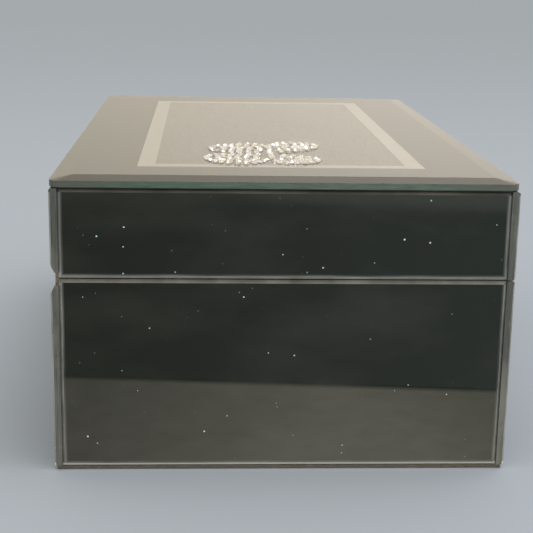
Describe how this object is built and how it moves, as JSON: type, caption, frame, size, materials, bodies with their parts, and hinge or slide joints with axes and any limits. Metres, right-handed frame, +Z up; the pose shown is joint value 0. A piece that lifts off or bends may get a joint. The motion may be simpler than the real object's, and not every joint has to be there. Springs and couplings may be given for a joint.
{
  "type": "vanity trinket box",
  "caption": "Black glass jewellery box with a hinged lid, a bevelled glass top with a framed panel and a crystal motif, velvet lining, a lid mirror and a sliding tray.",
  "frame": {"origin": "centre of the underside, on the surface that the box stands on", "axes": "+Z up, Y along the long sides, +X towards the side that opens; the hinges are on the -X side"},
  "size_m": [0.176, 0.3, 0.1161],
  "materials": {
    "felt": "pressed black felt",
    "board": "fine fibreboard, sealed edges",
    "black_glass": "back-painted black glass with fine glitter flakes, ground edges",
    "clear_glass": "clear polished glass with a bevel and greenish edges",
    "border_print": "black lacquer under glass",
    "silver_print": "silver foil under glass",
    "glitter_print": "fine grey glitter under glass",
    "crystal": "faceted clear crystal",
    "mirror": "polished mirror",
    "velvet": "short black velvet",
    "roll_velvet": "padded black velvet",
    "flocked_board": "board covered with black flock",
    "hinge_metal": "satin brass"
  },
  "bodies": {
    "base": {"underside_felt": "felt", "base_board": "board", "base_wall_hinge_side": "board", "base_wall_opening_side": "board", "base_wall_near_end": "board", "base_wall_far_end": "board", "base_glass_hinge_side": "black_glass", "base_glass_opening_side": "black_glass", "base_glass_near_end": "black_glass", "base_glass_far_end": "black_glass", "base_floor_lining": "velvet", "base_wall_lining": "velvet", "tray_rail_hinge_side": "flocked_board", "tray_rail_opening_side": "flocked_board", "well_divider_cross": "flocked_board", "well_divider_long": "flocked_board", "near_hinge_base_leaf": "hinge_metal", "far_hinge_base_leaf": "hinge_metal", "near_hinge_pin": "hinge_metal", "far_hinge_pin": "hinge_metal", "base_leaf_screws": "hinge_metal"},
    "lid": {"lid_board": "board", "lid_wall_hinge_side": "board", "lid_wall_opening_side": "board", "lid_wall_near_end": "board", "lid_wall_far_end": "board", "lid_glass_hinge_side": "black_glass", "lid_glass_opening_side": "black_glass", "lid_glass_near_end": "black_glass", "lid_glass_far_end": "black_glass", "lid_top_glass": "clear_glass", "top_border_print": "border_print", "top_silver_band": "silver_print", "top_glitter_panel": "glitter_print", "crystal_motif": "crystal", "lid_ceiling_lining": "velvet", "lid_wall_lining": "velvet", "lid_mirror": "mirror", "mirror_frame": "velvet", "near_hinge_lid_leaf": "hinge_metal", "far_hinge_lid_leaf": "hinge_metal", "lid_leaf_screws": "hinge_metal"},
    "tray": {"tray_floor": "flocked_board", "tray_wall_hinge_side": "flocked_board", "tray_wall_opening_side": "flocked_board", "tray_wall_near_end": "flocked_board", "tray_wall_far_end": "flocked_board", "tray_divider_cross": "flocked_board", "tray_divider_hinge_side": "flocked_board", "tray_divider_opening_side": "flocked_board", "tray_floor_lining": "velvet", "ring_roll_1": "roll_velvet", "ring_roll_2": "roll_velvet", "ring_roll_3": "roll_velvet", "ring_roll_4": "roll_velvet", "ring_roll_5": "roll_velvet", "ring_roll_6": "roll_velvet"}
  },
  "joints": [
    {"name": "lid_hinge", "type": "hinge", "parent": "base", "child": "lid", "pos_m": [-0.0866, 0, 0.0766], "axis": [0, -1, 0], "range_deg": [0, 95]},
    {"name": "tray_slide", "type": "slide", "parent": "base", "child": "tray", "axis": [0, -1, 0], "range_m": [0, 0.126]}
  ]
}
